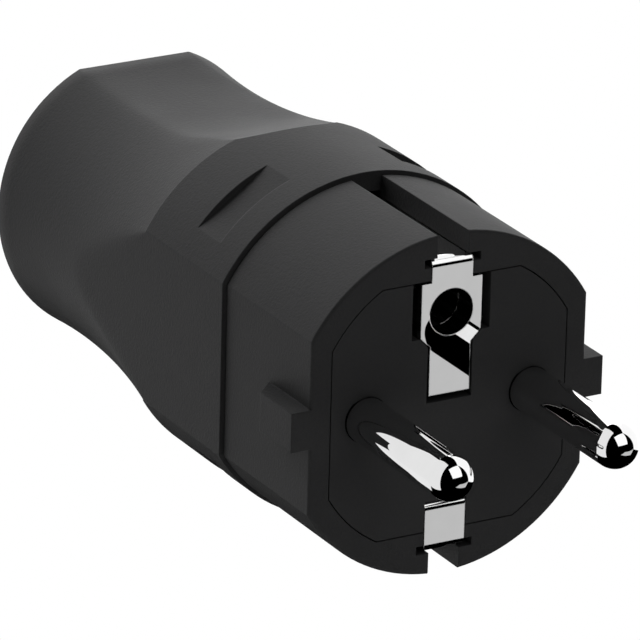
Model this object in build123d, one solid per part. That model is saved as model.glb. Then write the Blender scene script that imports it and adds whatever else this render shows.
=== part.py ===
from build123d import *
from math import cos, radians, sin, sqrt
import os

# Rewireable mains plug with two round pins, in millimetres.
# Frame: the origin is the centre of the front face. +Y runs back through the body to the cable end,
# the pins point to -Y, +Z is up and +X is to the right. Depths are Y values, counted from the front face.

# Pins and front face
pin_radius = 2.4
pin_reach = 19.0                  # front face to pin tip
root_step = 0.2                   # pins are this much thicker inside the carrier
press_gap = 0.03                  # moulding round a pin or a screw
pin_offset = 9.5                  # axis of the plug to the axis of a pin
front_radius = 18.46              # round part of the front body
front_flat = 15.93                # axis to each side flat
front_depth = 18.0                # front face to the parting line
front_edge_round = 0.3
seam_width = 0.35                 # dark joint line round the body at the parting line
seam_depth = 0.85

# Guide ribs on the side flats
rib_reach = 2.15
rib_height = 4.2
rib_length = 6.5
rib_root = 0.5                    # foot of a rib inside the body

# Earth strip and the grooves it lies in
strip_width = 4.7
strip_thickness = 0.8
strip_bend = 0.5                  # middle radius of every fold
strip_recess = 2.51               # outer face of the strip below the round of the front body
groove_width = 3.6
ear_width = 6.5                   # undercut that takes the strip's edges
strip_gap = 0.1
neck_width = 4.9

# Contact carrier, the inner part of the front face
rim_wall = 2.64                   # front shell round the carrier
side_wall = 2.26                  # front shell at the carrier's flats
carrier_gap = 0.12                # hairline between carrier and front shell
flange_depth = 5.0
ledge_width = 1.0
carrier_depth = 11.5
fit_gap = 0.15                    # moulded pieces that slip into each other
plate_wall = 4.0                  # plastic in front of the pin flanges

# Earth plates and their cut-outs in the face
plate_width = 6.95
plate_top = 13.38
plate_bottom = 7.6
tongue_end = 1.24
lower_plate_end = 10.4            # axis to the folded top edge of the lower plate
cutout_width = 9.0
cutout_bottom = 0.5
cutout_neck = 5.2
cutout_depth = 6.5
socket_height = 10.0              # axis of the plug to the axis of the earth socket
socket_bore = 2.5
collar_length = 2.9               # drawn collar of the earth plate
sheet_wall = 0.55
socket_end = 14.0
socket_slit = 0.8

# Pins behind the face
flange_radius = 2.95
flange_length = 2.5
flange_gap = 0.1
neck_radius = 2.6
neck_end = 15.5                   # terminal face of a pin

# Retainer plate that locks the pins in the carrier
retainer_thickness = 2.0
retainer_top = 6.2
retainer_margin = 0.25            # retainer inside the carrier's side flats
retainer_edge = 0.3               # plastic below the heads of the retainer screws
retainer_screw_angle = 43.5       # below the line through both pins

# Tower that carries the earth terminal between the two pins
tower_half_width = 3.6
tower_top = 4.0
tower_bottom = 8.0
base_depth = 25.3                 # front face of the bracket's cross strip
pad_top = 2.4
pad_bottom = 6.4
earth_screw_z = -2.0

# Screws, washers and nuts
screw_radius = 1.75
thread_gap = 0.05
pass_radius = 1.95
terminal_screw_length = 8.0
terminal_head_radius = 2.8
terminal_head_height = 2.4
washer_thickness = 1.0
washer_lip = 0.7                  # length of the turned-down lips
lip_wall = 0.35
lip_gap = 0.1                     # lips to the neck or pad between them
washer_corner = 0.6
retainer_screw_radius = 1.45
retainer_screw_length = 8.5
retainer_head_radius = 2.6
retainer_head_height = 1.9
slot_width = 0.9
slot_depth = 1.1
cross_slot = 1.1                  # length of the short cross slot, in head radii
tip_gap = 0.5                     # every screw hole is this much deeper than its screw
nut_size = 5.5
nut_height = 2.4
nut_recess = 1.1                  # nut above the underside of its boss
nut_corner = 0.4

# Rear cover
collar_step = 0.4                 # collar and rear flats stand this much proud of the front body
collar_end = 34.7
cover_end = 69.0
shoulder_radius = 18.79
waist_radius = 15.93
waist_depth = 59.5
tail_radius = 16.35
tail_round = 1.0
cover_wall = 2.15
rear_wall = 2.5
scoop_line = [                    # floor of the hollow over the cover, as (depth, height)
    (32.3, 19.1), (35.0, 17.75), (39.4, 16.5), (43.3, 15.5),
    (50.0, 14.7), (58.0, 14.35), (69.5, 14.95),
]

# Latch between front shell and cover
latch_angle = 35.0                # from straight up or down to the middle of each latch
pocket_start = 22.1
pocket_end = 26.85
pocket_half_angle = 15.0
spigot_end = 24.5
spigot_half_width = 11.5
arm_end = 29.0
arm_half_angle = 8.0
arm_thickness = 1.3
barb_start = 25.2
barb_length = 1.0                 # catch before the ramp begins
barb_height = 0.5
channel_half_angle = 9.5
channel_end = 29.5

# Cord clamp
clamp_depth = 39.0                # middle of the clamp
clamp_length = 7.0
clamp_half_width = 11.0
clamp_bottom = 8.6
clamp_top = 0.8
clamp_corner = 2.0
trough_radius = 5.5
clamp_screw_x = 7.2
clamp_screw_length = 13.5
clamp_head_height = 2.2
bar_width = 6.0
bar_thickness = 2.4
bar_edge = 0.5
grip_rib = 0.8
grip_rib_width = 1.0
rail_inner = 4.0
rail_outer = 5.8
rail_start = 20.0
rail_knee = 29.5                  # the rails rise towards the clamp from here
rail_lift = 0.8                   # underside of the rails above the spigot's round
rail_gap = 0.1

# Cable entry
grommet_bore = 4.5
grommet_radius = 7.45
grommet_gap = 0.05
grommet_start = 58.0
grommet_lip = 1.2
grommet_recess = 0.3              # grommet behind the end of the cover
grommet_flare = 1.2
grommet_bead = 0.45
bead_foot = 3.3
bead_crown = 1.2
sleeve_wall = 1.8

carrier_radius = front_radius - rim_wall - carrier_gap
carrier_flat = front_flat - side_wall - carrier_gap
strip_level = front_radius - strip_recess
collar_radius = front_radius + collar_step
cover_flat = front_flat + collar_step
collar_bore = collar_radius - cover_wall
spigot_radius = collar_bore - fit_gap
ledge_radius = carrier_radius - ledge_width
opening_flat = carrier_flat + carrier_gap
retainer_end = carrier_depth + retainer_thickness
retainer_screw_reach = ledge_radius - retainer_head_radius - 2 * retainer_edge
retainer_screw_x = retainer_screw_reach * cos(radians(retainer_screw_angle))
retainer_screw_z = -retainer_screw_reach * sin(radians(retainer_screw_angle))
retainer_bottom = retainer_head_radius + retainer_edge - retainer_screw_z
base_end = base_depth + strip_thickness
clamp_start = clamp_depth - clamp_length / 2
clamp_end = clamp_depth + clamp_length / 2
nut_top = nut_height + nut_recess - clamp_bottom
grommet_seat = grommet_start + grommet_lip
grommet_end = cover_end - grommet_recess
sleeve_radius = grommet_radius + grommet_bead + grommet_gap + sleeve_wall
pad_middle = (pad_top - pad_bottom) / 2
beyond = 30.0                     # overlong cuts that run out of the part


def along_y(profile, start, end):
    """Solid of a front view, drawn as (x, z), from one depth to another."""
    return extrude(Plane.XZ.offset(-start) * profile, amount=end - start, dir=(0, 1, 0))


def block(x, y, z):
    """Box between the low and high values of each direction."""
    middle = [(low + high) / 2 for low, high in (x, y, z)]
    size = [high - low for low, high in (x, y, z)]
    return Pos(*middle) * Box(*size)


def flatted(radius, half_x, half_z):
    """Front view of a disc with flats at its sides and at its top and bottom."""
    return Circle(radius) & Rectangle(2 * half_x, 2 * half_z)


def rod(x, z, radius, start, end):
    """Round bar along Y."""
    return along_y(Pos(x, z) * Circle(radius), start, end)


def ring_sector(inner, outer, middle, half):
    """Front view of a slice of a ring, about an angle from +X."""
    far = 2 * outer
    corners = [(far * cos(radians(a)), far * sin(radians(a))) for a in (middle - half, middle + half)]
    return (Circle(outer) - Circle(inner)) & Polygon((0, 0), *corners, align=None)


def latch_angles():
    """Directions of the four latches, from +X."""
    return [side * 90 + turn * latch_angle for side in (1, -1) for turn in (1, -1)]


def turned(points):
    """Solid of revolution about Y of a closed outline of (radius, depth) points."""
    return revolve(make_face(Polyline(*points, close=True)), axis=Axis.Y)


def guide_rib(side):
    """Rib on a side flat that ends in a 45 degree ramp."""
    root = side * (front_flat - rib_root)
    tip = side * (front_flat + rib_reach)
    ramp_end = rib_length + rib_reach + rib_root
    outline = Polyline((root, 0), (tip, 0), (tip, rib_length), (root, ramp_end), close=True)
    return extrude(make_face(outline), amount=rib_height / 2, both=True)


def earth_slots():
    """Groove, undercut and neck that the earth strip lies in, above and below."""
    under = strip_level - strip_thickness - strip_gap / 2
    over = strip_level + strip_gap / 2
    groove = (-groove_width / 2, groove_width / 2)
    ears = (-ear_width / 2, ear_width / 2)
    neck = (-neck_width / 2, neck_width / 2)
    upper = [
        block(groove, (-1, front_depth), (over - strip_gap, beyond)),
        block(ears, (-1, front_depth), (under, over)),
        block(ears, (front_depth, spigot_end + 1), (under, beyond)),
        block(neck, (-1, strip_thickness + strip_bend), (carrier_flat, over)),
    ]
    return upper + [mirror(cut, about=Plane.XY) for cut in upper]


def latch_arm(angle):
    """Sprung arm behind the spigot with an outward barb that ramps down towards the rear."""
    inner = spigot_radius - arm_thickness
    arm = along_y(ring_sector(inner, spigot_radius, angle, arm_half_angle), spigot_end - 1, arm_end)
    catch = spigot_radius + barb_height
    barb = turned([(inner, barb_start), (catch, barb_start), (catch, barb_start + barb_length),
                   (spigot_radius, arm_end), (inner, arm_end)])
    reach = along_y(ring_sector(inner, collar_radius, angle, arm_half_angle), barb_start, arm_end)
    return arm + (barb & reach)


def clamp_bridge():
    """Trough for the cord with two screw bosses, carried by two rails from the lower spigot."""
    seat = block((-clamp_half_width, clamp_half_width), (clamp_start, clamp_end), (-clamp_bottom, clamp_top))
    seat = fillet(seat.edges().filter_by(Axis.Y).group_by(Axis.Z)[0], clamp_corner)
    seat -= rod(0, 0, trough_radius, clamp_start - 1, clamp_end + 1)
    under = rail_lift - sqrt(spigot_radius ** 2 - rail_outer ** 2)
    over = -rail_gap - sqrt(ledge_radius ** 2 - rail_inner ** 2)
    side_view = Polyline((rail_start, under), (rail_knee, under), (clamp_end, -clamp_bottom),
                         (clamp_start, -trough_radius - rail_gap), (spigot_end, over), (rail_start, over),
                         close=True)
    rail_plane = Plane.YZ.offset(rail_inner)
    rail = extrude(rail_plane * make_face(side_view), amount=rail_outer - rail_inner, dir=(1, 0, 0))
    bridge = seat + rail + mirror(rail, about=Plane.YZ)
    half = nut_size / 2 + fit_gap
    for x in (clamp_screw_x, -clamp_screw_x):
        bridge -= Pos(x, clamp_depth, 0) * Cylinder(pass_radius, 4 * clamp_bottom)
        bridge -= block((x - half, x + half), (clamp_depth - half, clamp_depth + half),
                        (-clamp_bottom - 1, nut_top))
    return bridge


def front_shell():
    """Outer front body: flats, guide ribs, earth grooves, latches and the cord clamp's seat."""
    body = along_y(flatted(front_radius, front_flat, front_radius), 0, front_depth - seam_width)
    body = fillet(body.edges().group_by(Axis.Y)[0], front_edge_round)
    for side in (1, -1):
        body += guide_rib(side)
    neck = flatted(front_radius - seam_depth, front_flat - seam_depth, front_radius)
    body += along_y(neck, front_depth - seam_width, front_depth)
    body += along_y(flatted(spigot_radius, spigot_half_width, spigot_radius), front_depth, spigot_end)
    body -= along_y(flatted(carrier_radius + carrier_gap, opening_flat, opening_flat), -1, flange_depth)
    body -= along_y(flatted(ledge_radius, opening_flat, opening_flat), flange_depth, spigot_end + 1)
    body -= rod(0, socket_height, socket_bore + sheet_wall + fit_gap, flange_depth, socket_end + fit_gap)
    for cut in earth_slots():
        body -= cut
    for angle in latch_angles():
        body += latch_arm(angle)
    return body + clamp_bridge()


def pin_seat(x):
    """Hole for a pin through the face wall, with a cone where the pin grows thicker."""
    front = pin_radius + press_gap
    back = front + root_step
    hole = turned([(0, -1), (front, -1), (front, 0), (back, root_step), (back, plate_wall + 1),
                   (0, plate_wall + 1)])
    return Pos(x, 0, 0) * hole


def face_cutouts():
    """Openings in the carrier's face for the two earth plates."""
    half = cutout_width / 2
    neck = cutout_neck / 2
    low = plate_bottom - strip_gap / 2
    shoulder = plate_width / 2 + strip_gap
    lower = strip_gap / 2 - lower_plate_end
    right = [(half, beyond), (half, low), (shoulder, low), (neck, low - shoulder + neck),
             (neck, cutout_bottom)]
    left = [(-x, z) for x, z in reversed(right)]
    return [
        along_y(make_face(Polyline(*right, *left, close=True)), -1, plate_wall),
        block((-half, half), (-1, cutout_depth), (low, beyond)),
        rod(0, socket_height, socket_bore + sheet_wall + fit_gap, 0, beyond),
        block((-neck / 2, neck / 2), (cutout_depth - 1, beyond), (socket_height, beyond)),
        block((-neck_width / 2, neck_width / 2), (-1, strip_thickness + strip_gap), (-beyond, lower)),
        block((-neck_width / 2, neck_width / 2), (-1, plate_wall + strip_gap),
              (lower - strip_thickness - strip_gap, lower)),
    ]


def contact_carrier():
    """Insulating insert that holds both pins and the earth bracket."""
    body = along_y(flatted(carrier_radius, carrier_flat, carrier_flat), 0, flange_depth)
    body += along_y(flatted(ledge_radius - fit_gap, carrier_flat, carrier_flat), flange_depth, carrier_depth)
    for cut in face_cutouts():
        body -= cut
    for side in (1, -1):
        x = side * pin_offset
        body -= pin_seat(x)
        body -= rod(x, 0, flange_radius + flange_gap, plate_wall, carrier_depth + 1)
        hole_end = retainer_end - retainer_screw_length - tip_gap
        body -= rod(side * retainer_screw_x, retainer_screw_z, retainer_screw_radius + press_gap,
                    hole_end, carrier_depth + 1)
    tower_width = (-tower_half_width, tower_half_width)
    tower = block(tower_width, (carrier_depth - 1, base_depth), (-tower_bottom, tower_top))
    hole_end = base_end + washer_thickness - terminal_screw_length - tip_gap
    return body + tower - rod(0, earth_screw_z, pass_radius, hole_end, base_depth + 1)


def pin_retainer():
    """Plate behind the carrier whose two collars press on the pin flanges."""
    outline = flatted(ledge_radius - fit_gap, carrier_flat - retainer_margin, retainer_bottom)
    body = along_y(outline, carrier_depth, retainer_end)
    body -= block((-beyond, beyond), (0, beyond), (retainer_top, beyond))
    body -= block((-tower_half_width - fit_gap, tower_half_width + fit_gap), (0, beyond),
                  (-tower_bottom - fit_gap, tower_top + fit_gap))
    for side in (1, -1):
        x = side * pin_offset
        body += rod(x, 0, flange_radius + flange_gap / 2, plate_wall + flange_length, carrier_depth)
        body -= rod(x, 0, neck_radius + flange_gap / 2, 0, beyond)
        body -= rod(side * retainer_screw_x, retainer_screw_z, retainer_screw_radius + fit_gap, 0, beyond)
    return body


def contact_pin(x):
    """Turned pin: round tip, flange in the carrier and a neck tapped for the terminal screw."""
    tip = -pin_reach
    ball = tip + pin_radius
    root = pin_radius + root_step
    flange_end = plate_wall + flange_length
    outline = Polyline((0, neck_end), (0, tip)) + RadiusArc((0, tip), (pin_radius, ball), -pin_radius)
    outline += Polyline((pin_radius, ball), (pin_radius, 0), (root, root_step), (root, plate_wall),
                        (flange_radius, plate_wall), (flange_radius, flange_end), (neck_radius, flange_end),
                        (neck_radius, neck_end), (0, neck_end))
    pin = revolve(make_face(outline), axis=Axis.Y)
    hole_end = neck_end + washer_thickness - terminal_screw_length - tip_gap
    pin -= rod(0, 0, screw_radius + thread_gap, hole_end, neck_end + 1)
    return Pos(x, 0, 0) * pin


def earth_bracket():
    """One folded strip: both front plates, both groove strips and the cross strip with the terminal pad."""
    mid = strip_thickness / 2
    level = strip_level - mid
    hook = -lower_plate_end - mid
    path = FilletPolyline((mid, tongue_end), (mid, level), (base_end - mid, level), (base_end - mid, -level),
                          (mid, -level), (mid, hook), (plate_wall, hook), radius=strip_bend)
    band = trace(path, line_width=strip_thickness)
    strip = extrude(Plane.YZ * band, amount=strip_width / 2, both=True)
    half = plate_width / 2
    slope = (plate_width - strip_width) / 2
    right = [(half, plate_top), (half, plate_bottom), (half - slope, plate_bottom - slope)]
    left = [(-x, z) for x, z in reversed(right)]
    plate = Polygon(*right, *left, align=None)
    strip += along_y(plate, 0, strip_thickness)
    strip += rod(0, socket_height, socket_bore + sheet_wall, 0, collar_length)
    strip -= rod(0, socket_height, socket_bore, -1, collar_length + 1)
    pad = Pos(0, pad_middle) * Rectangle(2 * neck_radius, pad_top + pad_bottom)
    strip += along_y(pad, base_depth, base_end)
    return strip - rod(0, earth_screw_z, screw_radius + thread_gap, base_depth - 1, base_end + 1)


def earth_socket():
    """Rolled contact sleeve behind the earth plate, slit along its lower side."""
    slit = Pos(0, -socket_bore) * Rectangle(socket_slit, 2 * socket_bore)
    sleeve = Circle(socket_bore + sheet_wall) - Circle(socket_bore) - slit
    return along_y(Pos(0, socket_height) * sleeve, collar_length, socket_end)


def screw(radius, length, head_radius, head_height):
    """Cheese-head screw with a slot and a short cross slot, head up, seat at height zero."""
    body = Pos(0, 0, head_height / 2) * Cylinder(head_radius, head_height)
    body = fillet(body.edges().group_by(Axis.Z)[-1], head_height / 4)
    above = Pos(0, 0, head_height - slot_depth + beyond / 2)
    body -= above * Box(3 * head_radius, slot_width, beyond)
    body -= above * Box(slot_width, cross_slot * head_radius, beyond)
    shank = Pos(0, 0, -length / 2) * Cylinder(radius, length)
    return body + chamfer(shank.edges().group_by(Axis.Z)[0], radius / 4)


def facing_back(part, x, depth, z):
    """Stand a piece drawn along +Z on a face that looks to the rear."""
    return Pos(x, depth, z) * Rot(-90, 0, 0) * part


def clamp_washer():
    """Square saddle washer with two turned-down lips, seat at height zero."""
    half = neck_radius + lip_gap + lip_wall
    plan = RectangleRounded(2 * half, 2 * half, washer_corner)
    plate = extrude(plan, amount=washer_thickness)
    plate += extrude(plan - Rectangle(2 * (half - lip_wall), 4 * half), amount=-washer_lip)
    return plate - Cylinder(screw_radius + fit_gap, beyond)


def clamp_bar():
    """Bar that presses the cord into the trough, rounded at the ends and ribbed underneath."""
    length = 2 * (clamp_screw_x + bar_width / 2)
    plan = SlotOverall(length, bar_width)
    bar = Pos(0, clamp_depth, clamp_top) * extrude(plan, amount=bar_thickness)
    bar = fillet(bar.edges().group_by(Axis.Z)[-1], bar_edge)
    for side in (1, -1):
        rib = Pos(0, side * bar_width / 4) * Rectangle(trough_radius, grip_rib_width)
        bar += Pos(0, clamp_depth, clamp_top - grip_rib) * extrude(rib, amount=grip_rib)
        bar -= Pos(side * clamp_screw_x, clamp_depth, 0) * Cylinder(pass_radius, beyond)
    return bar


def square_nut(x):
    """Nut that sits in the recess under a boss of the cord clamp."""
    half = nut_size / 2
    nut = block((-half, half), (-half, half), (nut_top - nut_height, nut_top))
    nut = fillet(nut.edges().filter_by(Axis.Z), nut_corner) - Cylinder(screw_radius + thread_gap, beyond)
    return Pos(x, clamp_depth, 0) * nut


def scoop(inset):
    """Solid above the hollow that runs back over the top of the cover."""
    line = Spline(*[(y, z - inset) for y, z in scoop_line])
    first, last = line @ 0, line @ 1
    rim = Polyline(last, (last.X, beyond), (first.X, beyond), first)
    return extrude(Plane.YZ * make_face([line, rim]), amount=beyond, both=True)


def end_corner(level):
    """Face outside a quarter round at the rear end of the cover, drawn as (height, depth)."""
    height = level - tail_round
    depth = cover_end - tail_round
    half_way = tail_round * cos(radians(45))
    curve = ThreePointArc((level, depth), (height + half_way, depth + half_way), (height, cover_end))
    rim = Polyline((height, cover_end), (height, cover_end + 1), (level + 1, cover_end + 1),
                   (level + 1, depth), (level, depth))
    return make_face([curve, rim])


def grip(inset, start, end):
    """Turned body of the cover with its side flats and its top and bottom hollows, shrunk by an inset."""
    waist = ThreePointArc((shoulder_radius - inset, collar_end), (waist_radius - inset, waist_depth),
                          (tail_radius - inset, cover_end))
    rim = Polyline(waist @ 1, (0, cover_end), (0, start), (collar_radius - inset, start),
                   (collar_radius - inset, collar_end), waist @ 0)
    body = revolve(make_face([waist, rim]), axis=Axis.Y)
    upper = scoop(inset)
    body = body - upper - mirror(upper, about=Plane.XY)
    flat = block((cover_flat - inset, beyond), (start - 1, waist_depth), (-beyond, beyond))
    body = body - flat - mirror(flat, about=Plane.YZ)
    return body & block((-beyond, beyond), (start, end), (-beyond, beyond))


def grip_pocket(angle):
    """Flat-floored recess in the collar over a latch."""
    floor = collar_radius * cos(radians(pocket_half_angle))
    cut = block((floor, beyond), (pocket_start, pocket_end), (-beyond, beyond))
    return Rot(0, -angle, 0) * cut


def rear_cover():
    """Hollow rear housing and grip with the cable entry in its end."""
    body = grip(0, front_depth, cover_end) - revolve(end_corner(tail_radius), axis=Axis.Y)
    side_view = Plane((0, 0, 0), x_dir=(0, 0, 1), z_dir=(-1, 0, 0))
    upper_corner = extrude(side_view * end_corner(scoop_line[-1][1]), amount=beyond, both=True)
    body = body - upper_corner - mirror(upper_corner, about=Plane.XY)
    cavity = grip(cover_wall, front_depth - 1, cover_end - rear_wall)
    cavity -= rod(0, 0, sleeve_radius, grommet_start, cover_end)
    body -= cavity
    body -= rod(0, 0, grommet_radius - grommet_lip, grommet_start - 1, cover_end)
    body -= rod(0, 0, grommet_radius + grommet_gap, grommet_seat, cover_end + 1)
    body -= bead_ring(grommet_gap)
    for angle in latch_angles():
        body -= grip_pocket(angle)
        channel = ring_sector(collar_bore - 1, collar_bore + barb_height + fit_gap, angle, channel_half_angle)
        body -= along_y(channel, front_depth - 1, channel_end)
    return body


def bead_ring(gap):
    """Rounded bead that holds the grommet in its sleeve, grown by a gap."""
    middle = (grommet_seat + cover_end) / 2
    foot = bead_foot / 2 + gap
    crown = bead_crown / 2
    inner = grommet_radius - grommet_bead
    outer = grommet_radius + grommet_bead + gap
    return turned([(inner, middle - foot), (grommet_radius, middle - foot), (outer, middle - crown),
                   (outer, middle + crown), (grommet_radius, middle + foot), (inner, middle + foot)])


def entry_grommet():
    """Rubber bush in the cable entry, flared at its outer end."""
    mouth = grommet_bore + grommet_flare
    body = turned([(grommet_bore, grommet_seat), (grommet_radius, grommet_seat),
                   (grommet_radius, grommet_end), (mouth, grommet_end),
                   (grommet_bore, grommet_end - 2 * grommet_flare)])
    return body + bead_ring(0)


def all_pieces():
    """Every piece of the plug by name."""
    washer = clamp_washer()
    terminal_screw = screw(screw_radius, terminal_screw_length, terminal_head_radius,
                           terminal_head_height)
    clamp_screw = screw(screw_radius, clamp_screw_length, terminal_head_radius, clamp_head_height)
    fixing_screw = screw(retainer_screw_radius, retainer_screw_length, retainer_head_radius,
                         retainer_head_height)
    pieces = {
        "front_shell": front_shell(),
        "contact_carrier": contact_carrier(),
        "pin_retainer": pin_retainer(),
        "rear_cover": rear_cover(),
        "entry_grommet": entry_grommet(),
        "earth_bracket": earth_bracket(),
        "earth_socket": earth_socket(),
        "cord_clamp_bar": clamp_bar(),
        "earth_washer": facing_back(washer, 0, base_end, earth_screw_z),
        "earth_screw": facing_back(terminal_screw, 0, base_end + washer_thickness, earth_screw_z),
    }
    for name, side in (("line", -1), ("neutral", 1)):
        x = side * pin_offset
        pieces[name + "_pin"] = contact_pin(x)
        pieces[name + "_washer"] = facing_back(Rot(0, 0, 90) * washer, x, neck_end, 0)
        pieces[name + "_screw"] = facing_back(terminal_screw, x, neck_end + washer_thickness, 0)
    for name, side in (("left", -1), ("right", 1)):
        x = side * clamp_screw_x
        pieces["clamp_screw_" + name] = Pos(x, clamp_depth, clamp_top + bar_thickness) * clamp_screw
        pieces["clamp_nut_" + name] = square_nut(x)
        pieces["retainer_screw_" + name] = facing_back(fixing_screw, side * retainer_screw_x, retainer_end,
                                                       retainer_screw_z)
    return pieces


os.makedirs("parts", exist_ok=True)
for name, piece in all_pieces().items():
    export_step(piece, f"parts/{name}.step")
    print(name, round(piece.volume, 2))
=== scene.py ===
# %% [markdown]
# A rewireable mains plug, dressed in Blender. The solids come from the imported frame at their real
# size, and this script gives them their finish: moulded black plastic, bright plated pins, zinc
# screws. The five screws that move also get a surface of their own, with a true thread.
# Each step below says what the real thing is, how it could be made, and why one way was taken.

from math import pi, tau

import bpy
import numpy as np
from mathutils import Matrix, Vector


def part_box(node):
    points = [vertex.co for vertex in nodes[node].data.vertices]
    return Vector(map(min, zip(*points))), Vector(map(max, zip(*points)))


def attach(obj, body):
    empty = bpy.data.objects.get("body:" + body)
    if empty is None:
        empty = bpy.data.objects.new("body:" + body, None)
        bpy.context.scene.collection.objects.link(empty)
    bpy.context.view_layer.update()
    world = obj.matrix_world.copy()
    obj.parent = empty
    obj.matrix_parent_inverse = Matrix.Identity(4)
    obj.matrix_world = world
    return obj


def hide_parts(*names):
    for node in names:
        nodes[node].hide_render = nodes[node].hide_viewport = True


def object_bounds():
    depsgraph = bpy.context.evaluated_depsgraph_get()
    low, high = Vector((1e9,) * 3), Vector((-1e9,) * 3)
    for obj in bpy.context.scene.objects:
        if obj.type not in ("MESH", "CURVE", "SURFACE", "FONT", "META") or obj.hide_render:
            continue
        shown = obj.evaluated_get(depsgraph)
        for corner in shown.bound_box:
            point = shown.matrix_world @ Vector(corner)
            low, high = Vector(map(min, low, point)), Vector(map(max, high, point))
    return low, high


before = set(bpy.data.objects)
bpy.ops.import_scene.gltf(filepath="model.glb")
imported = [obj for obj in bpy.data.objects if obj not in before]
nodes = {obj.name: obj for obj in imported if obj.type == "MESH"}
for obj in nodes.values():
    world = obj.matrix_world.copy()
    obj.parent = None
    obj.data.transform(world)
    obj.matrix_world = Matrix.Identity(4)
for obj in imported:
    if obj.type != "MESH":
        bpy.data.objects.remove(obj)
cad_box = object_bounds()
MM = 0.001
MICRON = 0.001 * MM
print("pieces in the frame:", len(nodes))

# %% [markdown]
# The camera stands where the photographer's did. Its place was fitted to known sizes: the pins are
# 4.8 mm thick, 19 mm long and 19 mm apart. A long lens keeps the perspective as weak as it is there.
# A camera could be aimed with a Track To constraint, but three axes in a matrix say exactly where
# it looks and how it rolls.

# %% Camera
CAMERA_PLACE = Vector((-0.33971, -0.57034, 0.26971))
# the camera's right, its up, and the direction from the plug towards it
CAMERA_AXES = ((0.87338, -0.48648, 0.02339), (0.15910, 0.33037, 0.93035), (-0.46032, -0.80883, 0.36593))
LENS = 400.3
SENSOR = 36.0
NEAREST_SEEN = 0.02

camera_data = bpy.data.cameras.new("photo_camera")
camera_data.lens = LENS
camera_data.sensor_width = SENSOR
camera_data.clip_start = NEAREST_SEEN
camera = bpy.data.objects.new("photo_camera", camera_data)
bpy.context.scene.collection.objects.link(camera)
camera.matrix_world = Matrix.Translation(CAMERA_PLACE) @ Matrix(CAMERA_AXES).transposed().to_4x4()
bpy.context.scene.camera = camera
bpy.context.scene.view_settings.view_transform = "Standard"
print("camera stands", round(CAMERA_PLACE.length, 3), "m from the front face")

# %% [markdown]
# Materials here are sums: grain plus clouds, a mask times a colour. Blender builds such a sum from
# Math nodes, and linking them by hand is long. One small class wraps a socket and lets Python's own
# operators add the nodes, so a shader reads like the formula it is.

# %% Shader maths as Python expressions
class Wire:
    """A number or vector that travels through the node tree. Operators on it add Math nodes."""

    def __init__(self, tree, socket):
        self.tree = tree
        self.socket = socket

    def _math(self, operation, *values, **settings):
        node = self.tree.nodes.new("ShaderNodeMath")
        node.operation = operation
        for name, value in settings.items():
            setattr(node, name, value)
        for slot, value in zip(node.inputs, values):
            plug_in(self.tree, slot, value)
        return Wire(self.tree, node.outputs[0])

    def __add__(self, other):
        return self._math("ADD", self, other)

    def __sub__(self, other):
        return self._math("SUBTRACT", self, other)

    def __rsub__(self, other):
        return self._math("SUBTRACT", other, self)

    def __mul__(self, other):
        return self._math("MULTIPLY", self, other)

    def __truediv__(self, other):
        return self._math("DIVIDE", self, other)

    def clamped(self):
        """The value kept between 0 and 1."""
        return self._math("ADD", self, 0.0, use_clamp=True)

    def at_least(self, other):
        """The larger of the two."""
        return self._math("MAXIMUM", self, other)

    def sign(self):
        """-1 or 1."""
        return self._math("SIGN", self)

    def is_above(self, level):
        """1 where the value is above a level, and 0 elsewhere."""
        return self._math("GREATER_THAN", self, level)

    __radd__ = __add__
    __rmul__ = __mul__


def plug_in(tree, slot, value):
    """Link a wire to a socket, or set the socket to a plain value."""
    if isinstance(value, Wire):
        tree.links.new(value.socket, slot)
    else:
        slot.default_value = value


print("a wire can be added, taken away, multiplied, divided, clamped and compared")

# %% [markdown]
# A material is a tree of nodes that ends in one surface shader. The shader editor shows it as boxes
# and threads. In a script, a second small class keeps the tree at hand, adds any node in one call and
# fills the shader's sockets by name, which leaves only the recipe of each finish to be written.

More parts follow.
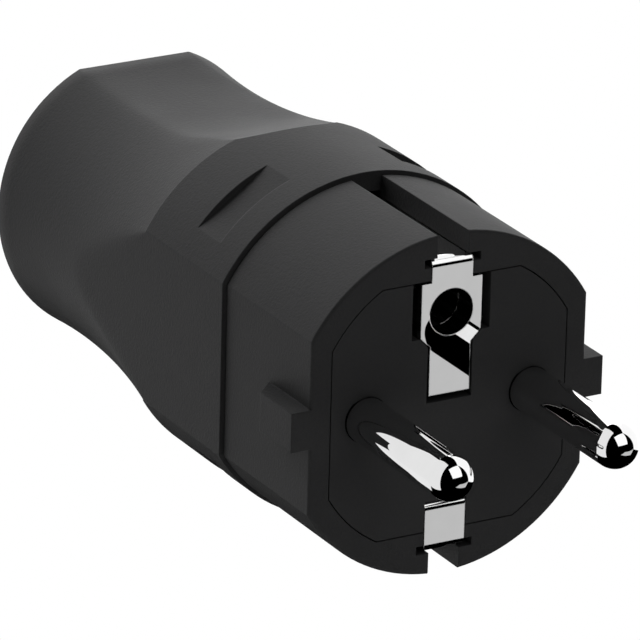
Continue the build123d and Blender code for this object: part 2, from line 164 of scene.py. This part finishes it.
# %% A finish being built
class Finish:
    """A material being built: it makes nodes and fills the surface shader's sockets."""

    def __init__(self, name):
        self.material = bpy.data.materials.new(name)
        self.material.use_nodes = True
        self.tree = self.material.node_tree
        self.shader = self.tree.nodes["Principled BSDF"]

    def node(self, kind, output=0, settings=None, **inputs):
        """Any node: its settings are set first, then its sockets, named with _ for a space."""
        made = self.tree.nodes.new("ShaderNode" + kind)
        for name, value in (settings or {}).items():
            setattr(made, name, value)
        for name, value in inputs.items():
            plug_in(self.tree, made.inputs[name.replace("_", " ")], value)
        return Wire(self.tree, made.outputs[output])

    def ramp(self, value, first, last):
        """A grey ramp between two (place, level) stops."""
        made = self.tree.nodes.new("ShaderNodeValToRGB")
        for point, (place, level) in zip(made.color_ramp.elements, (first, last)):
            point.position = place
            point.color = (level, level, level, 1)
        plug_in(self.tree, made.inputs["Fac"], value)
        return Wire(self.tree, made.outputs["Color"])

    def mix_colour(self, factor, first, second):
        """Two colours blended by a factor."""
        made = self.tree.nodes.new("ShaderNodeMix")
        made.data_type = "RGBA"
        plug_in(self.tree, made.inputs["Factor"], factor)
        plug_in(self.tree, made.inputs[6], first)
        plug_in(self.tree, made.inputs[7], second)
        return Wire(self.tree, made.outputs[2])

    def vector_math(self, operation, *vectors, output=0):
        """A Vector Math node on one or two vectors."""
        result = self.node("VectorMath", output, {"operation": operation})
        for slot, vector in zip(result.socket.node.inputs, vectors):
            plug_in(self.tree, slot, vector)
        return result

    def split(self, vector):
        """The three parts of a vector."""
        made = self.tree.nodes.new("ShaderNodeSeparateXYZ")
        plug_in(self.tree, made.inputs[0], vector)
        return [Wire(self.tree, output) for output in made.outputs]

    def place(self):
        """Where a point lies on the piece, in metres."""
        return self.node("TexCoord", output="Object")

    def set(self, **inputs):
        """Fill sockets of the surface shader."""
        for name, value in inputs.items():
            plug_in(self.tree, self.shader.inputs[name.replace("_", " ")], value)


print("a finish makes nodes, ramps, mixes and vector maths")

# %% [markdown]
# The housings are injection moulded from a hard black plastic. The mould is spark eroded, which
# leaves a fine grain of pits about a third of a millimetre apart, and the edges of a moulding are
# never quite sharp. The grain could be an image, but noise in the piece's own space needs no seams.
# A Bevel node turns the normal near an edge, so that every edge catches a thin line of light. On the
# grip its radius grows, because the ridges there are soft enough to hold.

# %% Moulded plastic
GRAIN_PER_METRE = 3200
CLOUD_PER_METRE = 140
PIT_FLOOR = 0.35                  # noise level at the bottom of a pit, and between the pits
PIT_RIM = 0.65
CLOUD_SHADE = 0.40                # how much the clouds and the pits move the grey
PIT_SHADE = 0.25
CLOUD_ROUGHNESS = 0.12
DARKEST = (0.80, 0.80, 0.82)
LIGHTEST = (1.20, 1.20, 1.21)
GLOSS_LEVEL = 0.04
GRIP_START = 34.5 * MM
GRIP_BLEND = 6 * MM
EDGE_SAMPLES = 12


def moulded_plastic(name, grey, roughness, grain_height, edge_radius, ridge_radius=0.0):
    """Matt moulding: grain as bump, slow clouds in grey and roughness, soft edges, and softer ridges
    on the grip."""
    finish = Finish(name)
    place = finish.place()
    grain = finish.node("TexNoise", Vector=place, Scale=GRAIN_PER_METRE, Detail=3.0, Roughness=0.6)
    clouds = finish.node("TexNoise", Vector=place, Scale=CLOUD_PER_METRE, Detail=4.0, Roughness=0.55)
    pits = finish.ramp(grain, (PIT_FLOOR, 0.0), (PIT_RIM, 1.0))
    lightness = ((clouds - 0.5) * CLOUD_SHADE + (pits - 0.5) * PIT_SHADE + 0.5).clamped()
    low = [grey * share for share in DARKEST] + [1]
    high = [grey * share for share in LIGHTEST] + [1]
    on_grip = ((finish.split(place)[1] - GRIP_START) / GRIP_BLEND).clamped()
    radius = on_grip * ridge_radius + edge_radius
    soft = finish.node("Bevel", settings={"samples": EDGE_SAMPLES}, Radius=radius)
    bump = finish.node("Bump", Strength=1.0, Distance=1.0, Height=grain * grain_height, Normal=soft)
    finish.set(Base_Color=finish.mix_colour(lightness, low, high))
    finish.set(Roughness=roughness + (clouds - 0.5) * CLOUD_ROUGHNESS)
    finish.set(Specular_IOR_Level=GLOSS_LEVEL, Normal=bump)
    return finish.material


body_plastic = moulded_plastic("body_plastic", 0.022, 0.52, 40 * MICRON, 0.18 * MM, 3.2 * MM)
insert_plastic = moulded_plastic("insert_plastic", 0.022, 0.56, 4 * MICRON, 0.08 * MM)
inner_plastic = moulded_plastic("inner_plastic", 0.12, 0.45, 4 * MICRON, 0.10 * MM)
print("plastic finishes: body, insert and inner parts")

# %% [markdown]
# The cable bush is soft rubber: duller than the plastic, with a bloom of slow grey patches. The
# plastic's recipe would do with other numbers, but rubber has no crisp edges and no pits, so a
# shorter recipe of its own is easier to read.

# %% Rubber
BLOOM_PER_METRE = 260
RUBBER_GRAIN_PER_METRE = 9000
RUBBER_GRAIN_HEIGHT = 4 * MICRON
BLOOM_DARK = 0.7
BLOOM_LIGHT = 1.4
RUBBER_ROUGHNESS = 0.72
BLOOM_ROUGHNESS = 0.1


def soft_rubber(name, grey):
    """Dull rubber with a faint bloom."""
    finish = Finish(name)
    place = finish.place()
    bloom = finish.node("TexNoise", Vector=place, Scale=BLOOM_PER_METRE, Detail=5.0, Roughness=0.6)
    grain = finish.node("TexNoise", Vector=place, Scale=RUBBER_GRAIN_PER_METRE, Detail=2.0, Roughness=0.5)
    low = [grey * BLOOM_DARK] * 3 + [1]
    high = [grey * BLOOM_LIGHT] * 3 + [1]
    bump = finish.node("Bump", Strength=1.0, Distance=1.0, Height=grain * RUBBER_GRAIN_HEIGHT)
    finish.set(Base_Color=finish.mix_colour(bloom, low, high))
    finish.set(Roughness=RUBBER_ROUGHNESS + (bloom - 0.5) * BLOOM_ROUGHNESS, Normal=bump)
    return finish.material


grommet_rubber = soft_rubber("grommet_rubber", 0.018)
print("rubber finish: cable bush")

# %% [markdown]
# A pin's tip is turned and polished to half a ball. The solid that stands for it has flat facets, and
# a mirror shows each of them. The tip could be cut into more facets, but at the very middle they would
# still meet in a point. So the shader works out the ball's own normal: the direction from the middle
# of the ball to the place on the surface.

# %% Normals of a round tip
PIN_RADIUS = 2.4 * MM
PIN_OFFSET = 9.5 * MM
PIN_REACH = 19 * MM
POLISHED_TIP = 0.7 * MM


def pin_normal(finish, place):
    """Normal of a pin: on the last of its tip the direction from the middle of the ball that the tip
    is part of, and the mesh's own normal elsewhere."""
    x, y, z = finish.split(place)
    from_axis = x - x.sign() * PIN_OFFSET
    from_centre = finish.node("CombineXYZ", X=from_axis, Y=y + (PIN_REACH - PIN_RADIUS), Z=z)
    at_tip = (0.0 - y).is_above(PIN_REACH - POLISHED_TIP)
    mesh_normal = finish.node("NewGeometry", output="Normal")
    return finish.mix_colour(at_tip, mesh_normal, finish.vector_math("NORMALIZE", from_centre))


print("ball of a pin's tip:", round(PIN_RADIUS / MM, 2), "mm radius")

# %% [markdown]
# Pins and earth strips are brass under bright nickel. Polished metal has almost no colour of its
# own: it is a mirror of the room. What tells it from a perfect mirror is slight: turning lines
# round a pin, rolling lines along a strip and a roughness that drifts from place to place. A flat
# grey with a highlight painted on would look right from one side only, and a true mirror looks right
# from all. Where a pin enters its hole its colour is painted near black, as painted shade in the gap.

# %% Bright plated metal
NICKEL = (0.82, 0.82, 0.82)
# near-black colour painted on a pin where it enters its hole: painted shade in the gap
ROOT_PAINTED_SHADE = (0.03, 0.03, 0.03, 1)
ZINC = (0.60, 0.61, 0.64)
WORN_SHARE = 0.92
DRIFT_PER_METRE = 320
IN_HOLE = -0.25 * MM
METAL_EDGE = 0.12 * MM


def plated_metal(name, colour, roughness, line_scale, line_height, is_pin=False):
    """Mirror plate with very fine lines. line_scale gives lines per metre along X, Y and Z."""
    finish = Finish(name)
    place = finish.place()
    stretched = finish.node("Mapping", Vector=place, Scale=line_scale)
    lines = finish.node("TexNoise", Vector=stretched, Scale=1.0, Detail=3.0, Roughness=0.6)
    drift = finish.node("TexNoise", Vector=place, Scale=DRIFT_PER_METRE, Detail=4.0, Roughness=0.6)
    worn = [level * WORN_SHARE for level in colour] + [1]
    tint = finish.mix_colour(drift, worn, [*colour, 1])
    if is_pin:
        # painted shade: the pin's colour turns near black from where it enters its hole
        tint = finish.mix_colour(finish.split(place)[1].is_above(IN_HOLE), tint, ROOT_PAINTED_SHADE)
        soft = pin_normal(finish, place)
    else:
        soft = finish.node("Bevel", Radius=METAL_EDGE)
    bump = finish.node("Bump", Strength=1.0, Distance=1.0, Height=lines * line_height, Normal=soft)
    finish.set(Base_Color=tint, Metallic=1.0, Roughness=roughness * (drift + 0.5), Normal=bump)
    return finish.material


pin_metal = plated_metal("pin_metal", NICKEL, 0.006, (60, 9000, 60), 0.02 * MICRON, is_pin=True)
earth_metal = plated_metal("earth_metal", NICKEL, 0.008, (9000, 60, 60), 0.02 * MICRON)
socket_metal = plated_metal("socket_metal", NICKEL, 0.02, (60, 4000, 60), 0.05 * MICRON)
zinc_steel = plated_metal("zinc_steel", ZINC, 0.34, (5000, 5000, 300), 0.6 * MICRON)
print("metal finishes: nickel and zinc")

# %% [markdown]
# Two black mouldings make the outside, a third carries the pins in the face, and the parts inside are
# grey plastic, rubber and zinc-plated steel. Each piece could be picked by hand, but a table from node
# to finish shows the whole plug at a glance. What the table doesn't name is a screw, a nut or a
# washer, and those are all zinc.

# %% Dress every node
FINISH_OF = {
    "front_shell": body_plastic, "rear_cover": body_plastic, "contact_carrier": insert_plastic,
    "pin_retainer": inner_plastic, "cord_clamp_bar": inner_plastic, "entry_grommet": grommet_rubber,
    "earth_bracket": earth_metal, "earth_socket": socket_metal,
    "line_pin": pin_metal, "neutral_pin": pin_metal,
}
for name, piece in nodes.items():
    piece.data.materials.clear()
    piece.data.materials.append(FINISH_OF.get(name, zinc_steel))
print("dressed nodes:", len(nodes))

# %% [markdown]
# A thread is rolled onto a screw between two dies. The solids have plain shanks, so the five screws
# that move get a surface with a true thread, which stands in for their solids at the same size. A
# Screw modifier could sweep the thread, but it would need trimming under the head and at the tip. Here
# the shank is a stack of rings whose radius depends on height and angle, and the thread simply fades
# out where it has to.

# %% Screw thread
THREAD_PITCH = 0.6 * MM
THREAD_DEPTH = 0.37 * MM
THREAD_SHARPNESS = 1.3
SHANK_RADIUS = 1.75 * MM
TIP_CHAMFER = SHANK_RADIUS / 4


def ring_faces(rings, around):
    """Quads between rings of points that are stored one ring after another."""
    row, column = np.meshgrid(np.arange(rings - 1), np.arange(around), indexing="ij")
    beside = (column + 1) % around
    below = [row * around + column, row * around + beside]
    above = [(row + 1) * around + beside, (row + 1) * around + column]
    return np.stack(below + above, -1).reshape(-1, 4)


def on_circle(radius, angles, height):
    """Points at x = radius cos(angle), y = radius sin(angle), all at one height."""
    return np.stack([radius * np.cos(angles), radius * np.sin(angles), height + 0 * angles], -1)


def thread_radius(height, angles, length):
    """Outer radius less the depth of a triangle wave of height over pitch minus turns. The wave fades
    in below the head, and the tip's chamfer cuts it off."""
    phase = np.abs((height / THREAD_PITCH - angles / tau) % 1.0 - 0.5) * 2
    groove = np.clip((phase - 0.5) * THREAD_SHARPNESS + 0.5, 0, 1)
    fade = min(-height / THREAD_PITCH, 1.0)
    chamfered = SHANK_RADIUS - max(TIP_CHAMFER - (height + length), 0.0)
    return np.minimum(SHANK_RADIUS - THREAD_DEPTH * fade * groove, chamfered)


print("thread:", round(THREAD_PITCH / MM, 2), "mm a turn")

# %% [markdown]
# The head is a low cylinder with a rounded top edge, a slot right across and a short cross slot. A
# Boolean could cut the slots, but it leaves slivers along the round edge. Each side of the slot is
# drawn as an outline instead, part rim and part slot, and repeated level by level, so that the slots'
# walls stay straight while the rim draws in. All parts share their border points, so merging those
# closes the surface.

# %% Screw surface
ROWS_A_PITCH = 8
SLOT_WIDTH = 0.9 * MM
SLOT_DEPTH = 1.1 * MM
CROSS_REACH = 0.55                # length of the cross slot on each side, in head radii
ARC_STEPS = 18
ROUND_STEPS = 5
WELD_GRID = 0.01 * MICRON


def rim_arc(radius):
    """Angles of the rim on one side of the slot. The first is the arcsine of half the slot's width
    over the radius."""
    end = np.arcsin(SLOT_WIDTH / 2 / radius)
    return np.linspace(end, pi - end, ARC_STEPS + 1)


def at_height(corners, height):
    """Corners of a flat outline, all at one height."""
    return np.column_stack([corners, np.full(len(corners), height)])


def slot_corners(head_radius):
    """Corners of the slot's wall on one side, with the cross slot as a notch in it."""
    half = SLOT_WIDTH / 2
    reach = CROSS_REACH * head_radius
    return np.array([[-half, half], [-half, reach], [half, reach], [half, half]])


def shank(head_radius, slot_floor, length):
    """Rings of the thread's radius from the tip to the seat, two rings of the head's radius from the
    seat to the slots' floor, and the flat tip."""
    arc = rim_arc(head_radius)
    angles = np.concatenate([[0.0], arc, [pi], pi + arc])
    rows = int(np.ceil(length / THREAD_PITCH * ROWS_A_PITCH)) + 1
    heights = np.linspace(-length, 0.0, rows)
    rings = [on_circle(thread_radius(height, angles, length), angles, height) for height in heights]
    rings += [on_circle(head_radius, angles, 0.0), on_circle(head_radius, angles, slot_floor)]
    tip = np.arange(len(angles))[None, ::-1]
    return [(np.concatenate(rings), ring_faces(len(rings), len(angles))), (rings[0], tip)]


def head_side(head_radius, head_height, turn):
    """The head on one side of the slot: rim and slot wall at every level, with the rim drawn in along a
    quarter circle near the top, and the flat top. A turn of -1 gives the other side."""
    rounding = head_height / 4
    tilt = np.linspace(0, pi / 2, ROUND_STEPS + 1)
    levels = np.concatenate([[head_height - SLOT_DEPTH], head_height - rounding + rounding * np.sin(tilt)])
    radii = np.concatenate([[head_radius], head_radius - rounding + rounding * np.cos(tilt)])
    slot_wall = slot_corners(head_radius)
    outlines = []
    for level, radius in zip(levels, radii):
        rim = on_circle(radius, rim_arc(radius), level)
        outlines.append(np.concatenate([rim, at_height(slot_wall, level)]) * (turn, turn, 1))
    around = len(outlines[0])
    top = np.arange(around)[None]
    return [(np.concatenate(outlines), ring_faces(len(outlines), around)), (outlines[-1], top)]


def slot_bottom(head_radius, slot_floor):
    """Floor of both slots, one face: the slot's end on the rim and the slot's wall, then the same
    turned half round."""
    end = rim_arc(head_radius)[0]
    rim = on_circle(head_radius, np.array([-end, 0.0, end]), slot_floor)
    one_side = np.concatenate([rim, at_height(slot_corners(head_radius)[::-1], slot_floor)])
    outline = np.concatenate([one_side, one_side * (-1, -1, 1)])
    return [(outline, np.arange(len(outline))[None])]


def welded(parts):
    """Points and faces of all parts, with the points that coincide merged."""
    points = np.concatenate([part_points for part_points, _ in parts])
    starts = np.cumsum([0] + [len(part_points) for part_points, _ in parts[:-1]])
    grid = np.round(points / WELD_GRID)
    first, same = np.unique(grid, axis=0, return_index=True, return_inverse=True)[1:]
    same = same.ravel()
    faces = [face for start, (_, corners) in zip(starts, parts) for face in same[corners + start].tolist()]
    return points[first], faces


def screw_surface(head_radius, head_height, length):
    """Closed surface of a screw that stands head up, with its seat at height zero: shank and head's
    side, the head on both sides of the slot, and the slots' floor."""
    slot_floor = head_height - SLOT_DEPTH
    parts = shank(head_radius, slot_floor, length)
    parts += head_side(head_radius, head_height, 1) + head_side(head_radius, head_height, -1)
    parts += slot_bottom(head_radius, slot_floor)
    return welded(parts)


print("rings a turn of the thread:", ROWS_A_PITCH)

# %% [markdown]
# Each threaded screw takes its place, its length and its head's width from the box of the solid that
# it stands in for. The numbers could be typed in again, but then a change of the solid would leave the
# screw behind. The screw is told which body it rides on, so that it turns and lifts with its solid.

# %% Threaded screws in place
SHARP_ANGLE = 0.7
# node: the body that it rides on, and the height of its head
SCREWS = {
    "line_screw": ("line_turn", 2.4 * MM), "neutral_screw": ("neutral_turn", 2.4 * MM),
    "earth_screw": ("earth_turn", 2.4 * MM), "clamp_screw_left": ("cord_turn_left", 2.2 * MM),
    "clamp_screw_right": ("cord_turn_right", 2.2 * MM),
}

for node, (body, head_height) in SCREWS.items():
    low, high = (np.array(corner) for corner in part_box(node))
    along = int(np.argmax(high - low))
    seat = high[along] - head_height
    points, faces = screw_surface((high[0] - low[0]) / 2, head_height, seat - low[along])
    if along == 1:  # a terminal screw lies along Y: a quarter turn about X
        points = points[:, [0, 2, 1]] * (1, 1, -1)
    place = (low + high) / 2
    place[along] = seat
    mesh = bpy.data.meshes.new(node + "_threaded")
    mesh.from_pydata((points + place).tolist(), [], faces)
    mesh.materials.append(zinc_steel)
    mesh.polygons.foreach_set("use_smooth", [True] * len(mesh.polygons))
    mesh.set_sharp_from_angle(angle=SHARP_ANGLE)
    threaded = bpy.data.objects.new(node + "_threaded", mesh)
    bpy.context.scene.collection.objects.link(threaded)
    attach(threaded, body)
    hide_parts(node)
    print(threaded.name, "faces:", len(mesh.polygons))

# %% [markdown]
# The stage is plain: a white floor far below and a white sky. The camera sees both as pure white.
# Other rays find a white board and a dim sky, so the white behind the plug pours no extra light on
# it. More light on the whole set would whiten the background too, but it would also grey the black
# plastic.

# %% Stage
FLOOR_DROP = 0.075
FLOOR_SIZE = 6.0
BOARD_WHITE = (0.9, 0.9, 0.9, 1)
BOARD_ROUGHNESS = 0.9
SKY_FILL = 0.06


def seen_by_camera(tree):
    """1 for rays from the camera and 0 for all others."""
    path = tree.nodes.new("ShaderNodeLightPath")
    return Wire(tree, path.outputs["Is Camera Ray"])


def sweep_material():
    """White board that the camera sees as pure white."""
    material = bpy.data.materials.new("white_sweep")
    material.use_nodes = True
    tree = material.node_tree
    board = tree.nodes["Principled BSDF"]
    board.inputs["Base Color"].default_value = BOARD_WHITE
    board.inputs["Roughness"].default_value = BOARD_ROUGHNESS
    glow = tree.nodes.new("ShaderNodeEmission")
    mix = tree.nodes.new("ShaderNodeMixShader")
    plug_in(tree, mix.inputs[0], seen_by_camera(tree))
    tree.links.new(board.outputs[0], mix.inputs[1])
    tree.links.new(glow.outputs[0], mix.inputs[2])
    tree.links.new(mix.outputs[0], tree.nodes["Material Output"].inputs["Surface"])
    return material


def stage_mesh(name, points, faces, material):
    """Object of the studio, from points and faces in metres."""
    mesh = bpy.data.meshes.new(name)
    mesh.from_pydata(np.asarray(points).tolist(), [], np.asarray(faces).tolist())
    mesh.materials.append(material)
    made = bpy.data.objects.new(name, mesh)
    bpy.context.scene.collection.objects.link(made)
    return made


floor_level = cad_box[0][2] - FLOOR_DROP
half = FLOOR_SIZE / 2
floor_outline = [(-half, -half), (half, -half), (half, half), (-half, half)]
floor_corners = [(x, y, floor_level) for x, y in floor_outline]
floor = stage_mesh("floor", floor_corners, [(0, 1, 2, 3)], sweep_material())
floor.visible_glossy = False  # mirrors see the bowl of the next steps in its place

world = bpy.data.worlds.new("studio")
bpy.context.scene.world = world
world.use_nodes = True
sky = world.node_tree.nodes["Background"]
sky.inputs["Color"].default_value = (1, 1, 1, 1)
sky_strength = seen_by_camera(world.node_tree) * (1 - SKY_FILL) + SKY_FILL
plug_in(world.node_tree, sky.inputs["Strength"], sky_strength)
print("floor", round(floor_level, 4), "m")

# %% [markdown]
# Bright metal is lit by what it mirrors, and the round tips of the pins show the whole room: black
# cloth round the camera, a black table below, white walls to the left and behind, and a grey card at
# the lower right that the flat earth plates mirror. Each edge of these is straight, so on a bowl about
# the plug it is part of a great circle. Its axis is the cross product of two corners, and a panel is
# all directions on the inner side of every edge. Cards cut from planes would do too, but the corners
# can be read from a pin's tip: a point there at share s of the radius mirrors the direction turned
# from the line of sight by twice the arcsine of s.

# %% Panels of the mirrored room
# brightness of each panel, then the directions of its corners as right, up and towards the camera
PANELS = {
    "left wall": (0.97, [
        (-0.09, 0.86, 0.50), (-0.53, -0.81, 0.24), (-0.51, 0.37, -0.78),
    ]),
    "low left wall": (1.0, [
        (-0.83, -0.40, -0.38), (-0.62, -0.50, -0.61), (-0.25, 0.0, -0.97), (-0.51, 0.37, -0.78),
    ]),
    "ceiling": (1.2, [
        (0.95, -0.22, -0.22), (0.52, 0.80, 0.31), (-0.54, 0.12, -0.83),
    ]),
    "rear ceiling": (2.3, [
        (0.30, 0.80, -0.52), (-0.35, 0.86, -0.37), (-0.62, 0.55, -0.56), (-0.54, 0.12, -0.83),
        (0.0, 0.2, -0.98),
    ]),
    "grey card": (0.63, [
        (0.42, -0.71, 0.57), (0.71, -0.49, 0.51), (0.96, -0.20, -0.18), (0.84, -0.53, -0.11),
    ]),
}


def sight_direction(right, up, near):
    """Direction given along the camera's right and up axes and its line of sight, in the frame's axes."""
    return Vector((right, up, near)).normalized() @ Matrix(CAMERA_AXES)


def edge_axes(corners):
    """Axis of every edge of a panel: the cross product of its two corners, turned so that the panel's
    middle is on its positive side."""
    points = np.array(corners)
    axes = np.cross(points, np.roll(points, -1, axis=0))
    inner_side = np.sign(axes @ points.mean(axis=0))
    return axes * inner_side[:, None]


print("panels:", ", ".join(PANELS))

# %% [markdown]
# The bowl carries the panels. It is a sphere that gives off light and that only reflections can see,
# so the plain light on the plastic still comes from the lamps and the sky alone. The panels could be
# painted on an image wrapped round the world, but then they would light the plastic too. In the bowl's
# shader a direction is inside a panel when its dot product with every edge's axis is above zero.

# %% Bowl round the plug
BOWL_RADIUS = 1.6
BOWL_STEPS = (48, 24)


def bowl_material():
    """Light given off by the bowl: the brightest panel that covers a direction, or none."""
    finish = Finish("mirrored_room")
    place = finish.place()
    glow = 0.0
    for level, corners in PANELS.values():
        inside = level
        for axis in edge_axes(corners):
            height = finish.vector_math("DOT_PRODUCT", place, sight_direction(*axis), output=1)
            inside = height.is_above(0.0) * inside
        glow = inside.at_least(glow)
    light = finish.node("Emission", Strength=glow)
    finish.tree.links.new(light.socket, finish.tree.nodes["Material Output"].inputs["Surface"])
    finish.tree.nodes.remove(finish.shader)
    return finish.material


def bowl():
    """Sphere: x = r cos(a) cos(b), y = r sin(a) cos(b), z = r sin(b), with a all round and b from pole
    to pole."""
    around, over = BOWL_STEPS
    a, b = np.meshgrid(np.linspace(0, tau, around, endpoint=False), np.linspace(-pi / 2, pi / 2, over + 1))
    points = BOWL_RADIUS * np.stack([np.cos(a) * np.cos(b), np.sin(a) * np.cos(b), np.sin(b)], -1)
    room = stage_mesh("mirrored_room", points.reshape(-1, 3), ring_faces(over + 1, around), bowl_material())
    room.visible_camera = False
    room.visible_diffuse = False
    room.visible_shadow = False
    room.visible_transmission = False
    return room


room = bowl()
print("bowl faces:", len(room.data.polygons))

# %% [markdown]
# Black plastic shows its shape by soft light from two sides: a window-like box at the front right,
# and a stronger one above and behind, whose light runs along the top of the grip. Sun lamps would
# give hard shadows, so both are wide area lamps. The back box is hidden from mirrors, where it would
# stand as a white square on the pins. A lamp's watts follow from how bright its face should look.

# %% Lamps
FRONT_BOX = {"direction": sight_direction(0.485, 0.413, 0.770), "distance": 1.0, "size": 0.97, "glow": 1.25}
BACK_BOX = {"direction": Vector((0.05, 0.80, 0.48)), "distance": 0.9, "size": 1.2, "glow": 7.6}


def soft_box(name, direction, distance, size, glow):
    """Square area lamp in a direction from the plug. Its power follows from how bright it looks:
    watts are pi times the area times the brightness."""
    lamp = bpy.data.lights.new(name, "AREA")
    lamp.shape = "SQUARE"
    lamp.size = size
    lamp.energy = pi * size * size * glow
    holder = bpy.data.objects.new(name, lamp)
    bpy.context.scene.collection.objects.link(holder)
    towards = direction.normalized()
    turn = towards.to_track_quat("Z", "Y").to_matrix().to_4x4()
    holder.matrix_world = Matrix.Translation(towards * distance) @ turn
    return holder


front_box = soft_box("front_box", **FRONT_BOX)
back_box = soft_box("back_box", **BACK_BOX)
back_box.visible_glossy = False
print("watts:", round(front_box.data.energy, 2), "in front,", round(back_box.data.energy, 1), "behind")
